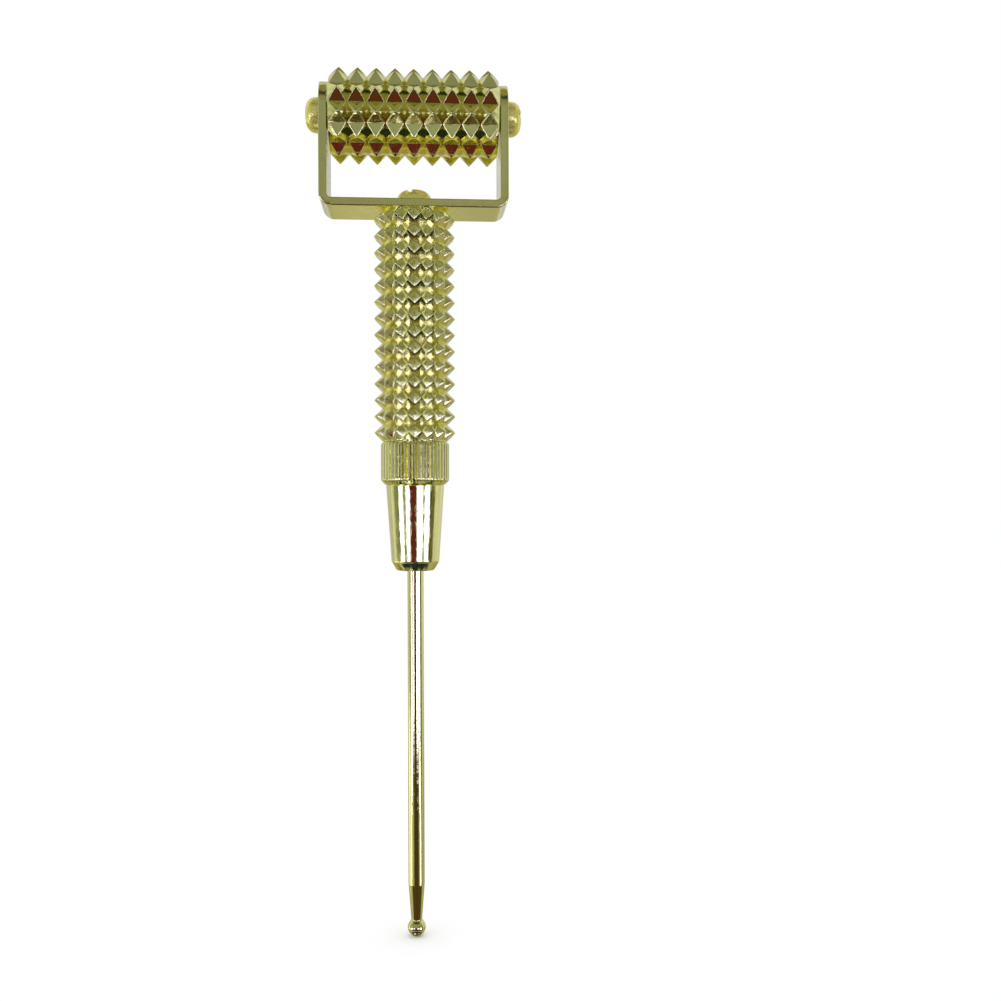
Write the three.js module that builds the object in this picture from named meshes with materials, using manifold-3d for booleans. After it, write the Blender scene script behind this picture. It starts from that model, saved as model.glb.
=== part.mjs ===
// A hand-held massage tool with a spiked roller in a fork, a spiked handle and a sprung, retractable probe.
// Millimetres, +Z up. The tool stands on its probe: the origin is the lowest point of the probe's ball,
// the roller turns about an axis parallel to X, and the fork's front edges face -Y.
import * as THREE from "three";
import { mergeVertices } from "three/addons/utils/BufferGeometryUtils.js";
import Module from "manifold-3d";

const wasm = await Module();
wasm.setup();

// ---- driving dimensions ----
const FINE = 32; // facets round the larger turned parts
const COARSE = 24; // facets round the smaller turned parts
const SLIP = 0.05; // radial gap of threads and of parts pushed together
const FACE_GAP = 0.05; // gap between faces that only touch when a spring presses them
const OVERRUN = 1; // how far a cutter reaches past the piece it cuts

const BALL_R = 1.65;
const NECK_R = 1.0;
const ROD_R = 1.5;
const ROD_TAPER_TOP = 9.7;
const ROD_RUN_CLEARANCE = 0.06;
const FLANGE_R = 2.5;
const FLANGE_THICK = 0.8;
const TAIL_R = 1.2;
const TAIL_LENGTH = 3.5;
const TAIL_CHAMFER = 0.3;

const NOSE_BOTTOM = 67.8;
const NOSE_CHAMFER_TOP = 69.4;
const NOSE_MOUTH_R = 3.4;
const NOSE_LOW_R = 4.4;
const NOSE_HIGH_R = 5.35;
const NOSE_THREAD_R = 3.5;
const NOSE_THREAD_DEPTH = 0.4;
const NOSE_THREAD_LENGTH = 7.5;
const NOSE_THREAD_TURNS = 7;

const COLLAR_BOTTOM = 83.6;
const COLLAR_TOP = 91.5;
const COLLAR_R = 6.3;
const COLLAR_BOTTOM_CHAMFER = 0.8;
const COLLAR_TOP_CHAMFER = 0.45;
const KNURLS = 45;
const KNURL_DEPTH = 0.32;
const KNURL_CREST_SHARE = 0.5; // share of the knurl pitch that is full height

const CORE_R = 4.0;
const SPRING_BORE_R = 2.75;
const SPRING_SEAT = 118.0;
const NOSE_TAP_DEPTH = 8.9;

const SLEEVE_BOTTOM = 91.6;
const SLEEVE_RINGS = 14;
const SLEEVE_RING_PITCH = 3.0;
const SLEEVE_TEETH = 19;
const SLEEVE_TIP_R = 7.5;
const SLEEVE_RING_ROOT_R = 6.0;
const SLEEVE_GROOVE_R = 6.45;

const STRAP_THICK = 1.5;
const STRAP_WIDTH = 10.8;
const FORK_WIDTH = 34.2;
const FORK_BEND_R = 2.2;
const FORK_INNER_BEND_R = 0.7;
const ARM_END_RISE = 0.5; // the arms' round ends are centred this far above the axle

const AXLE_ABOVE_BAR = 17.7; // from the underside of the fork's bar
const AXLE_R = 2.5;
const AXLE_TAP_DEPTH = 9.0;
const AXLE_RUN_CLEARANCE = 0.08;

const ROLLER_RINGS = 9;
const ROLLER_RING_PITCH = 3.4;
const ROLLER_TEETH = 12;
const ROLLER_TIP_R = 8.55;
const ROLLER_RING_ROOT_R = 6.85;
const ROLLER_GROOVE_R = 7.05;
const ROLLER_PHASE = 12; // degrees from the front down to the first row of tips
const TIP_FLAT = 0.06; // half the width of the blunt edge on each tooth

const SCREW_R = 1.7;
const SCREW_HEAD_R = 3.2;
const SCREW_HEAD_HEIGHT = 2.7;
const SCREW_DOME = 2.6; // 2 is an elliptical head, and more is a squarer one
const SCREW_DOME_STEPS = 7;
const SCREW_END_CHAMFER = 0.4;
const SCREW_SLOT_WIDTH = 1.2;
const SCREW_SLOT_OFFSET = 0.4; // the slots are cut off centre
const SCREW_SLOT_DEPTH = 0.9;
const AXLE_SCREW_LENGTH = 9.0;
const FORK_SCREW_LENGTH = 11.0;
const FORK_SCREW_TURN = 76; // degrees from X to the slot of the fork's screw
const LEFT_SCREW_TURN = 35; // degrees from Z
const RIGHT_SCREW_TURN = 85;

const WIRE_R = 0.25;
const WIRE_SIDES = 6;
const COIL_R = 2.1;
const COILS = 13;
const STEPS_PER_COIL = 12;

// ---- places worked out from them ----
const SLEEVE_TOP = SLEEVE_BOTTOM + SLEEVE_RINGS * SLEEVE_RING_PITCH;
const BAR_BOTTOM = SLEEVE_TOP;
const BAR_TOP = BAR_BOTTOM + STRAP_THICK;
const AXLE_Z = BAR_BOTTOM + AXLE_ABOVE_BAR;
const ARM_TOP = AXLE_Z + ARM_END_RISE + STRAP_WIDTH / 2;
const ARM_OUTER_X = FORK_WIDTH / 2;
const ARM_INNER_X = ARM_OUTER_X - STRAP_THICK;
const NOSE_THREAD_TOP = COLLAR_BOTTOM + NOSE_THREAD_LENGTH;
const FLANGE_BOTTOM = NOSE_THREAD_TOP + FACE_GAP;
const FLANGE_TOP = FLANGE_BOTTOM + FLANGE_THICK;
const CORE_TAP_BOTTOM = BAR_BOTTOM - FORK_SCREW_LENGTH;
const ROLLER_LENGTH = ROLLER_RINGS * ROLLER_RING_PITCH;

// ---- materials ----
const platedBrass = new THREE.MeshStandardMaterial({ color: 0xd8cf8c, metalness: 1, roughness: 0.16 });
const screwBrass = new THREE.MeshStandardMaterial({ color: 0xcdb545, metalness: 1, roughness: 0.24 });
const springSteel = new THREE.MeshStandardMaterial({ color: 0xb8bcc2, metalness: 1, roughness: 0.22 });

// ---- geometry helpers ----
const degrees = THREE.MathUtils.degToRad;

// A solid turned about Z. The profile's points are [radius, height], going up on the outside.
function turned(profile, segments, phase = 0) {
  const points = profile.map(([radius, height]) => new THREE.Vector2(radius, height));
  return new THREE.LatheGeometry(points, segments).rotateX(Math.PI / 2).rotateZ(phase);
}

// Points [radius, height] on an arc centred at (r, z), from one angle to another above the horizontal.
function arc(r, z, radius, fromDegrees, toDegrees, steps) {
  return Array.from({ length: steps + 1 }, (_, i) => {
    const angle = degrees(fromDegrees + ((toDegrees - fromDegrees) * i) / steps);
    return [r + radius * Math.cos(angle), z + radius * Math.sin(angle)];
  });
}

// A closed mesh as a solid for joins and cuts, without the empty triangles a lathe leaves on its axis.
function solid(geometry) {
  const bare = geometry.clone();
  bare.deleteAttribute("normal");
  bare.deleteAttribute("uv");
  const welded = mergeVertices(bare, 1e-5);
  const index = welded.index.array;
  const triangles = [];
  for (let i = 0; i < index.length; i += 3) {
    const [a, b, c] = [index[i], index[i + 1], index[i + 2]];
    if (a !== b && b !== c && c !== a) triangles.push(a, b, c);
  }
  const vertProperties = new Float32Array(welded.attributes.position.array);
  const triVerts = new Uint32Array(triangles);
  return new wasm.Manifold(new wasm.Mesh({ numProp: 3, vertProperties, triVerts }));
}

// A solid back as a geometry.
function geometryOf(body) {
  const { vertProperties, triVerts } = body.getMesh();
  const geometry = new THREE.BufferGeometry();
  geometry.setAttribute("position", new THREE.BufferAttribute(vertProperties, 3));
  geometry.setIndex(new THREE.BufferAttribute(triVerts, 1));
  geometry.computeVertexNormals();
  return geometry;
}

// A flat outline of [x, y] points, extruded from z = 0 to z = depth.
function prism(points, depth) {
  const shape = new THREE.Shape(points.map(([x, y]) => new THREE.Vector2(x, y)));
  return new THREE.ExtrudeGeometry(shape, { depth, bevelEnabled: false });
}

function piece(name, geometry, material) {
  const mesh = new THREE.Mesh(geometry, material);
  mesh.name = name;
  return mesh;
}

// ---- spiked bar ----
// Rings of pyramid teeth about Z from z = 0: V rings turned in a bar, crossed with V grooves along it.
function spikedBar({ rings, pitch, teeth, tipR, ringRootR, grooveR, boreR, boreSegments, phase }) {
  const length = rings * pitch;
  const crestR = tipR + TIP_FLAT;
  const profile = [[0, 0], [ringRootR, 0]];
  for (let ring = 0; ring < rings; ring += 1) {
    profile.push([crestR, (ring + 0.5) * pitch], [ringRootR, (ring + 1) * pitch]);
  }
  profile.push([0, length]);

  const outline = [];
  for (let tooth = 0; tooth < teeth; tooth += 1) {
    const tip = (2 * Math.PI * tooth) / teeth;
    const valley = tip + Math.PI / teeth;
    outline.push([tipR * Math.cos(tip), tipR * Math.sin(tip)]);
    outline.push([grooveR * Math.cos(valley), grooveR * Math.sin(valley)]);
  }

  // The lathe starts on +X with rotateZ(90 degrees), so that its facets meet on the tips and valleys.
  const rounds = solid(turned(profile, 2 * teeth, Math.PI / 2));
  const grooved = solid(prism(outline, length));
  const [low, high] = [-OVERRUN, length + OVERRUN];
  const bore = solid(turned([[0, low], [boreR, low], [boreR, high], [0, high]], boreSegments));
  const bar = rounds.intersect(grooved);
  return geometryOf(bar.rotate([0, 0, phase]).subtract(bore));
}

// ---- handle ----
function handleSleeve() {
  return spikedBar({
    rings: SLEEVE_RINGS,
    pitch: SLEEVE_RING_PITCH,
    teeth: SLEEVE_TEETH,
    tipR: SLEEVE_TIP_R,
    ringRootR: SLEEVE_RING_ROOT_R,
    grooveR: SLEEVE_GROOVE_R,
    boreR: CORE_R + SLIP,
    boreSegments: FINE,
    phase: -90 + 180 / SLEEVE_TEETH, // a groove faces the front
  });
}

// The collar's straight knurl: flat-topped ridges with a narrow V between them.
function knurlOutline() {
  const points = [];
  const pitch = 360 / KNURLS;
  for (let ridge = 0; ridge < KNURLS; ridge += 1) {
    const start = ridge * pitch;
    const valley = start + (pitch * (1 + KNURL_CREST_SHARE)) / 2;
    for (const [radius, angle] of [
      [COLLAR_R, degrees(start)],
      [COLLAR_R, degrees(start + pitch * KNURL_CREST_SHARE)],
      [COLLAR_R - KNURL_DEPTH, degrees(valley)],
    ]) {
      points.push([radius * Math.cos(angle), radius * Math.sin(angle)]);
    }
  }
  return points;
}

function collar() {
  const chamfered = turned([
    [0, COLLAR_BOTTOM],
    [COLLAR_R - COLLAR_BOTTOM_CHAMFER, COLLAR_BOTTOM],
    [COLLAR_R, COLLAR_BOTTOM + COLLAR_BOTTOM_CHAMFER],
    [COLLAR_R, COLLAR_TOP - COLLAR_TOP_CHAMFER],
    [COLLAR_R - COLLAR_TOP_CHAMFER, COLLAR_TOP],
    [0, COLLAR_TOP],
  ], 2 * KNURLS);
  const ridges = prism(knurlOutline(), COLLAR_TOP - COLLAR_BOTTOM);
  ridges.translate(0, 0, COLLAR_BOTTOM);
  return solid(chamfered).intersect(solid(ridges));
}

// The core carries the sleeve, holds the spring, and is tapped at both ends.
function handleCore() {
  const middle = (COLLAR_BOTTOM + COLLAR_TOP) / 2;
  const shank = turned([[0, middle], [CORE_R, middle], [CORE_R, BAR_BOTTOM], [0, BAR_BOTTOM]], FINE);
  const tapTop = COLLAR_BOTTOM + NOSE_TAP_DEPTH;
  const noseEnd = turned([
    [0, COLLAR_BOTTOM - OVERRUN],
    [NOSE_THREAD_R + SLIP, COLLAR_BOTTOM - OVERRUN],
    [NOSE_THREAD_R + SLIP, tapTop],
    [SPRING_BORE_R, tapTop],
    [SPRING_BORE_R, SPRING_SEAT],
    [0, SPRING_SEAT],
  ], FINE);
  const screwR = SCREW_R + SLIP;
  const screwEnd = turned([
    [0, CORE_TAP_BOTTOM],
    [screwR, CORE_TAP_BOTTOM + screwR / 2],
    [screwR, BAR_BOTTOM + OVERRUN],
    [0, BAR_BOTTOM + OVERRUN],
  ], COARSE);
  return geometryOf(collar().add(solid(shank)).subtract(solid(noseEnd)).subtract(solid(screwEnd)));
}

// ---- nose and probe ----
function noseCone() {
  const profile = [
    [ROD_R + ROD_RUN_CLEARANCE, NOSE_BOTTOM],
    [NOSE_MOUTH_R, NOSE_BOTTOM],
    [NOSE_LOW_R, NOSE_CHAMFER_TOP],
    [NOSE_HIGH_R, COLLAR_BOTTOM],
  ];
  const pitch = NOSE_THREAD_LENGTH / NOSE_THREAD_TURNS;
  for (let turn = 0; turn < NOSE_THREAD_TURNS; turn += 1) {
    const start = COLLAR_BOTTOM + turn * pitch;
    profile.push([NOSE_THREAD_R - NOSE_THREAD_DEPTH, start], [NOSE_THREAD_R, start + pitch / 2]);
  }
  profile.push([NOSE_THREAD_R - NOSE_THREAD_DEPTH, NOSE_THREAD_TOP]);
  profile.push([ROD_R + ROD_RUN_CLEARANCE, NOSE_THREAD_TOP]);
  profile.push(profile[0]);
  return turned(profile, FINE);
}

function probe() {
  const neckAngle = THREE.MathUtils.radToDeg(Math.acos(NECK_R / BALL_R));
  const ball = arc(0, BALL_R, BALL_R, -90, neckAngle, 9);
  ball[0][0] = 0;
  const tailTop = FLANGE_TOP + TAIL_LENGTH;
  return turned([
    ...ball,
    [ROD_R, ROD_TAPER_TOP],
    [ROD_R, FLANGE_BOTTOM],
    [FLANGE_R, FLANGE_BOTTOM],
    [FLANGE_R, FLANGE_TOP],
    [TAIL_R, FLANGE_TOP],
    [TAIL_R, tailTop - TAIL_CHAMFER],
    [TAIL_R - TAIL_CHAMFER, tailTop],
    [0, tailTop],
  ], FINE);
}

class Helix extends THREE.Curve {
  constructor(bottom, top) {
    super();
    this.bottom = bottom;
    this.top = top;
  }
  getPoint(t, target = new THREE.Vector3()) {
    const angle = 2 * Math.PI * COILS * t;
    const height = THREE.MathUtils.lerp(this.bottom, this.top, t);
    return target.set(COIL_R * Math.cos(angle), COIL_R * Math.sin(angle), height);
  }
}

function returnSpring() {
  const end = WIRE_R + FACE_GAP;
  const extrudePath = new Helix(FLANGE_TOP + end, SPRING_SEAT - end);
  const corners = Array.from({ length: WIRE_SIDES }, (_, i) => {
    const angle = (2 * Math.PI * i) / WIRE_SIDES;
    return new THREE.Vector2(WIRE_R * Math.cos(angle), WIRE_R * Math.sin(angle));
  });
  const wire = new THREE.Shape(corners);
  return new THREE.ExtrudeGeometry(wire, { steps: COILS * STEPS_PER_COIL, extrudePath, bevelEnabled: false });
}

// ---- fork and roller ----
// The strap's edge outline, seen from the front: a U with bent corners.
function forkOutline() {
  const shape = new THREE.Shape();
  const outer = { x: ARM_OUTER_X - FORK_BEND_R, z: BAR_BOTTOM + FORK_BEND_R, r: FORK_BEND_R };
  const inner = { x: ARM_INNER_X - FORK_INNER_BEND_R, z: BAR_TOP + FORK_INNER_BEND_R, r: FORK_INNER_BEND_R };
  const down = -Math.PI / 2;
  shape.moveTo(-ARM_OUTER_X, ARM_TOP);
  shape.absarc(-outer.x, outer.z, outer.r, -Math.PI, down);
  shape.absarc(outer.x, outer.z, outer.r, down, 0);
  shape.lineTo(ARM_OUTER_X, ARM_TOP);
  shape.lineTo(ARM_INNER_X, ARM_TOP);
  shape.absarc(inner.x, inner.z, inner.r, 0, down, true);
  shape.absarc(-inner.x, inner.z, inner.r, down, -Math.PI, true);
  shape.lineTo(-ARM_INNER_X, ARM_TOP);
  return shape;
}

// The strap seen from the side: as wide as the strap, with a round end at the top.
function strapSide() {
  const half = STRAP_WIDTH / 2;
  const shape = new THREE.Shape();
  shape.moveTo(-half, BAR_BOTTOM - OVERRUN);
  shape.lineTo(half, BAR_BOTTOM - OVERRUN);
  shape.absarc(0, AXLE_Z + ARM_END_RISE, half, 0, Math.PI);
  return shape;
}

function fork() {
  const bends = { depth: STRAP_WIDTH, bevelEnabled: false, curveSegments: 6 };
  const edge = new THREE.ExtrudeGeometry(forkOutline(), bends);
  edge.rotateX(Math.PI / 2).translate(0, STRAP_WIDTH / 2, 0);
  const across = FORK_WIDTH + 2 * OVERRUN;
  const ends = { depth: across, bevelEnabled: false, curveSegments: 20 };
  const side = new THREE.ExtrudeGeometry(strapSide(), ends);
  side.rotateX(Math.PI / 2).rotateZ(Math.PI / 2).translate(-across / 2, 0, 0);
  const holeR = SCREW_R + 2 * SLIP;
  const axleHole = new THREE.CylinderGeometry(holeR, holeR, across, COARSE);
  axleHole.rotateZ(Math.PI / 2).translate(0, 0, AXLE_Z);
  const barHole = new THREE.CylinderGeometry(holeR, holeR, 4 * STRAP_THICK, COARSE);
  barHole.rotateX(Math.PI / 2).translate(0, 0, BAR_BOTTOM);
  return geometryOf(solid(edge).intersect(solid(side)).subtract(solid(axleHole)).subtract(solid(barHole)));
}

// About Z, centred on the origin.
function roller() {
  const bar = spikedBar({
    rings: ROLLER_RINGS,
    pitch: ROLLER_RING_PITCH,
    teeth: ROLLER_TEETH,
    tipR: ROLLER_TIP_R,
    ringRootR: ROLLER_RING_ROOT_R,
    grooveR: ROLLER_GROOVE_R,
    boreR: AXLE_R + AXLE_RUN_CLEARANCE,
    boreSegments: COARSE,
    phase: -90 + ROLLER_PHASE,
  });
  return bar.translate(0, 0, -ROLLER_LENGTH / 2);
}

// A tube clamped between the fork's arms, tapped at each end, centred on the origin.
function rollerAxle() {
  const half = ARM_INNER_X;
  const tapR = SCREW_R + SLIP;
  return turned([
    [0, -half + AXLE_TAP_DEPTH],
    [tapR, -half + AXLE_TAP_DEPTH - tapR / 2],
    [tapR, -half],
    [AXLE_R, -half],
    [AXLE_R, half],
    [tapR, half],
    [tapR, half - AXLE_TAP_DEPTH + tapR / 2],
    [0, half - AXLE_TAP_DEPTH],
  ], COARSE);
}

// Points [radius, height] up the squared dome of a screw's head, from its rim to its top.
function screwDome() {
  const share = 2 / SCREW_DOME;
  return Array.from({ length: SCREW_DOME_STEPS }, (_, i) => {
    const angle = (Math.PI / 2) * (i / SCREW_DOME_STEPS);
    return [SCREW_HEAD_R * Math.cos(angle) ** share, SCREW_HEAD_HEIGHT * Math.sin(angle) ** share];
  });
}

// A slotted round-headed screw along Z, with the underside of its head at z = 0.
function screw(length) {
  const body = turned([
    [0, -length],
    [SCREW_R - SCREW_END_CHAMFER, -length],
    [SCREW_R, -length + SCREW_END_CHAMFER],
    [SCREW_R, 0],
    ...screwDome(),
    [0, SCREW_HEAD_HEIGHT],
  ], COARSE);
  const slot = new THREE.BoxGeometry(3 * SCREW_HEAD_R, SCREW_SLOT_WIDTH, 2 * SCREW_SLOT_DEPTH);
  slot.translate(0, SCREW_SLOT_OFFSET, SCREW_HEAD_HEIGHT);
  return geometryOf(solid(body).subtract(solid(slot)));
}

// ---- assembly ----
const tool = new THREE.Group();

const handle = new THREE.Group();
handle.add(piece("handle_sleeve", handleSleeve().translate(0, 0, SLEEVE_BOTTOM), platedBrass));
handle.add(piece("handle_core", handleCore(), platedBrass));
handle.add(piece("nose_cone", noseCone(), platedBrass));
handle.add(piece("return_spring", returnSpring(), springSteel));
handle.add(piece("fork", fork(), platedBrass));
tool.add(handle);

const forkScrew = piece("fork_screw", screw(FORK_SCREW_LENGTH), screwBrass);
forkScrew.position.z = BAR_TOP;
forkScrew.rotation.z = degrees(FORK_SCREW_TURN);
tool.add(forkScrew);

// Turned so that its own Z runs along the tool's X.
const axleLine = new THREE.Group();
axleLine.position.z = AXLE_Z;
axleLine.rotation.y = Math.PI / 2;
axleLine.add(piece("roller_axle", rollerAxle(), platedBrass));
const rollerMesh = piece("roller", roller(), platedBrass);
axleLine.add(rollerMesh);
const rightScrew = piece("axle_screw_right", screw(AXLE_SCREW_LENGTH), screwBrass);
rightScrew.position.z = ARM_OUTER_X;
rightScrew.rotation.z = degrees(RIGHT_SCREW_TURN);
axleLine.add(rightScrew);
const leftScrew = piece("axle_screw_left", screw(AXLE_SCREW_LENGTH), screwBrass);
leftScrew.position.z = -ARM_OUTER_X;
leftScrew.rotation.set(Math.PI, 0, degrees(LEFT_SCREW_TURN));
axleLine.add(leftScrew);
tool.add(axleLine);

tool.add(piece("probe", probe(), platedBrass));

export default tool;
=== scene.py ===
"""A plated-brass massage tool: spiked roller in a fork, spiked handle, and a sprung probe with a ball tip.

Helpers work in millimetres, because that is how the parts are measured, and meshes are scaled to metres
when they are made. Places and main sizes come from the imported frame, and the fine shape and the finishes
are added here.
"""

import math
import random

import bpy
from mathutils import Matrix, Vector


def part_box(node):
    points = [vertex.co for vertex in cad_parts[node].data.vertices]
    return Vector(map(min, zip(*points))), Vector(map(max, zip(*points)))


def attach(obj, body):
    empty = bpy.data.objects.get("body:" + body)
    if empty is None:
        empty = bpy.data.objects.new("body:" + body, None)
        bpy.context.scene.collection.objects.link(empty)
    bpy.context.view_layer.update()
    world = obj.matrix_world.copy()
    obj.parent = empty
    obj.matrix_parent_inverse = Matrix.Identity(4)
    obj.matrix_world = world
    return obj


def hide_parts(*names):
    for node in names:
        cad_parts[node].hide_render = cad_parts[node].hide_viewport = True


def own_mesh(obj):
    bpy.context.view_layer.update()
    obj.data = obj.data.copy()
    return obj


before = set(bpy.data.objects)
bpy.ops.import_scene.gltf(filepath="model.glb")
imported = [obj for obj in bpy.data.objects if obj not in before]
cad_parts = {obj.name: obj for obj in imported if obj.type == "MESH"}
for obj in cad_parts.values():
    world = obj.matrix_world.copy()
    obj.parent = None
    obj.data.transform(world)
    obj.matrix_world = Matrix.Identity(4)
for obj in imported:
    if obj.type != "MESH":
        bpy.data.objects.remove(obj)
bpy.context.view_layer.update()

MM = 0.001


# ---------------------------------------------------------------- sizes from the frame
def box_mm(node):
    """Lowest and highest corner of a CAD node, in millimetres."""
    low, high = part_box(node)
    return low / MM, high / MM


def half_width(node, axis):
    low, high = box_mm(node)
    return (high[axis] - low[axis]) / 2


Y, Z = 1, 2  # axes
fork_low, fork_high = box_mm("fork")
sleeve_low, sleeve_high = box_mm("handle_sleeve")
core_low, core_high = box_mm("handle_core")
nose_low, nose_high = box_mm("nose_cone")
probe_low, probe_high = box_mm("probe")
spring_low, spring_high = box_mm("return_spring")
axle_low, axle_high = box_mm("roller_axle")
roller_low, roller_high = box_mm("roller")
fork_screw_low, fork_screw_high = box_mm("fork_screw")
right_screw_low, right_screw_high = box_mm("axle_screw_right")

AXLE_Z = (axle_low.z + axle_high.z) / 2
AXLE_R = half_width("roller_axle", Z)
ARM_INNER_X = axle_high.x
ARM_OUTER_X = fork_high.x
STRAP_THICK = ARM_OUTER_X - ARM_INNER_X
STRAP_WIDTH = fork_high.y - fork_low.y
BAR_BOTTOM = fork_low.z
BAR_TOP = BAR_BOTTOM + STRAP_THICK
ARM_TOP = fork_high.z

SCREW_HEAD_R = half_width("fork_screw", Y)
SCREW_HEAD_HEIGHT = fork_screw_high.z - BAR_TOP
FORK_SCREW_LENGTH = BAR_TOP - fork_screw_low.z
AXLE_SCREW_LENGTH = ARM_OUTER_X - right_screw_low.x
ROLLER_LENGTH = roller_high.x - roller_low.x
SLEEVE_LENGTH = sleeve_high.z - sleeve_low.z
COLLAR_R = half_width("handle_core", Y)
COLLAR_BOTTOM = core_low.z
COLLAR_TOP = sleeve_low.z - 0.1
NOSE_BOTTOM = nose_low.z
NOSE_TOP_R = half_width("nose_cone", Y)
NOSE_THREAD_TOP = nose_high.z
FLANGE_R = half_width("probe", Y)
SPRING_R = half_width("return_spring", Y)

# ---------------------------------------------------------------- fine sizes, in millimetres
ROLLER = dict(rings=9, teeth=12, tip_r=8.55, root_r=6.85, groove_r=7.05, phase=-78.0)
SLEEVE = dict(rings=14, teeth=19, tip_r=7.5, root_r=6.0, groove_r=6.45, phase=-90 + 180 / 19)
SPIKE_ROUNDING = 0.05  # radius worked into the teeth's edges
CREST_SHARE = 0.12  # how much of a tooth's half width its rounded crest takes
LEAST_CREST = 0.02
WEAR = 0.07  # the most that a tooth falls short of its full height
ROLLER_BORE_GAP = 0.08
CORE_R = 4.0
CORE_CHAMFER = 0.2
TAP_CHAMFER = 0.3
FIT_GAP = 0.05
SPRING_BORE_R = 2.75
SPRING_SEAT = 118.0
NOSE_TAP_DEPTH = 8.9
SCREW_R = 1.7
SCREW_PITCH = 0.6
SCREW_THREAD_DEPTH = 0.28
SCREW_POINT_R = SCREW_R - 0.5
SCREW_POINT = 0.3  # plain length at the tip
SCREW_NECK = 0.6  # plain length under the head
SCREW_EDGE = 0.12
SCREW_RIM = 0.3  # height of the head's straight side
SCREW_DOME = 3.0  # 2 is an ellipse, and more is a squarer head
SLOT_WIDTH = 1.2
SLOT_OFFSET = 0.4
SLOT_DEPTH = 0.9
FORK_SCREW_TURN = 76  # which way each screw happened to stop, in degrees
LEFT_SCREW_TURN = 35
RIGHT_SCREW_TURN = 85
THREAD_R = 3.5
THREAD_PITCH = 1.0
THREAD_DEPTH = 0.45
THREAD_FADE = 0.6  # turns over which a thread runs out
THREAD_RELIEF = 0.1
ROD_R = 1.5
ROD_GAP = 0.06
BEND_R = 2.2
STRAP_EDGE_R = 0.22

random.seed(7)


# ---------------------------------------------------------------- mesh helpers
def make_object(name, vertices, faces):
    """A mesh object from points in millimetres."""
    mesh = bpy.data.meshes.new(name)
    mesh.from_pydata([Vector(v) * MM for v in vertices], [], faces)
    mesh.validate()
    mesh.update()
    obj = bpy.data.objects.new(name, mesh)
    bpy.context.scene.collection.objects.link(obj)
    return obj


def move(obj, matrix):
    """Moves the mesh itself, so that the object stays at the origin. The matrix is in millimetres."""
    scaled = matrix.copy()
    scaled.translation = matrix.translation * MM
    obj.data.transform(scaled)
    obj.data.update()


def even_angles(count):
    return [2 * math.pi * i / count for i in range(count)]


def turned(name, section, angles):
    """A closed solid round Z. section(angle) lists (radius, height), going up on the outside.

    A section that starts and ends at radius 0 is closed on the axis, and any other closes on itself.
    """
    columns = [section(angle) for angle in angles]
    rows = len(columns[0])
    poles = columns[0][0][0] == 0
    vertices, faces, grid = [], [], []
    if poles:
        ends = [(0, 0, columns[0][0][1]), (0, 0, columns[0][-1][1])]
        columns = [column[1:-1] for column in columns]
        rows -= 2
    for angle, column in zip(angles, columns):
        first = len(vertices)
        vertices += [(r * math.cos(angle), r * math.sin(angle), z) for r, z in column]
        grid.append(range(first, first + rows))
    count = len(angles)
    for i in range(count):
        here, there = grid[i], grid[(i + 1) % count]
        for j in range(rows - 1 if poles else rows):
            k = (j + 1) % rows
            faces.append((here[j], there[j], there[k], here[k]))
    if poles:
        bottom, top = len(vertices), len(vertices) + 1
        vertices += ends
        for i in range(count):
            here, there = grid[i], grid[(i + 1) % count]
            faces.append((bottom, there[0], here[0]))
            faces.append((top, here[rows - 1], there[rows - 1]))
    return make_object(name, vertices, faces)


def arc(centre_r, centre_z, radius, start, end, steps):
    """(radius, height) points on an arc, between two angles in degrees above the horizontal."""
    points = []
    for i in range(steps + 1):
        angle = math.radians(start + (end - start) * i / steps)
        points.append((centre_r + radius * math.cos(angle), centre_z + radius * math.sin(angle)))
    return points


def rounded(points, radius, steps=3):
    """The same outline with each inner corner cut back by radius and rounded."""
    result = [points[0]]
    for before, corner, after in zip(points, points[1:], points[2:]):
        c = Vector(corner)
        to_before, to_after = Vector(before) - c, Vector(after) - c
        reach = min(radius, 0.4 * to_before.length, 0.4 * to_after.length)
        p, q = c + to_before.normalized() * reach, c + to_after.normalized() * reach
        for i in range(steps + 1):
            t = i / steps
            point = p * (1 - t) ** 2 + c * 2 * t * (1 - t) + q * t ** 2
            result.append((point.x, point.y))
    result.append(points[-1])
    return result


def smooth(obj, sharp_degrees=38):
    """Smooth shading that keeps sharp corners and flat faces."""
    obj.data.shade_smooth()
    obj.data.set_sharp_from_angle(angle=math.radians(sharp_degrees))
    weighted = obj.modifiers.new("weighted_normals", "WEIGHTED_NORMAL")
    weighted.keep_sharp = True
    return obj


def cut(obj, tool):
    """Cuts tool out of obj and removes tool."""
    boolean = obj.modifiers.new("cut", "BOOLEAN")
    boolean.operation = "DIFFERENCE"
    boolean.solver = "EXACT"
    boolean.object = tool
    evaluated = obj.evaluated_get(bpy.context.evaluated_depsgraph_get())
    mesh = bpy.data.meshes.new_from_object(evaluated)
    obj.modifiers.clear()
    obj.data = mesh
    bpy.data.objects.remove(tool)
    return obj


def bevel(obj, width, degrees=50, segments=2):
    modifier = obj.modifiers.new("edges", "BEVEL")
    modifier.width = width * MM
    modifier.segments = segments
    modifier.limit_method = "ANGLE"
    modifier.angle_limit = math.radians(degrees)
    return obj


def place(obj, body, slot, material, *nodes):
    """Gives a finished piece its body and finish, and hides the CAD nodes it stands for."""
    obj.data.materials.clear()
    obj.data.materials.append(material)
    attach(obj, body)
    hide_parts(*nodes)
    return obj


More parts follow.
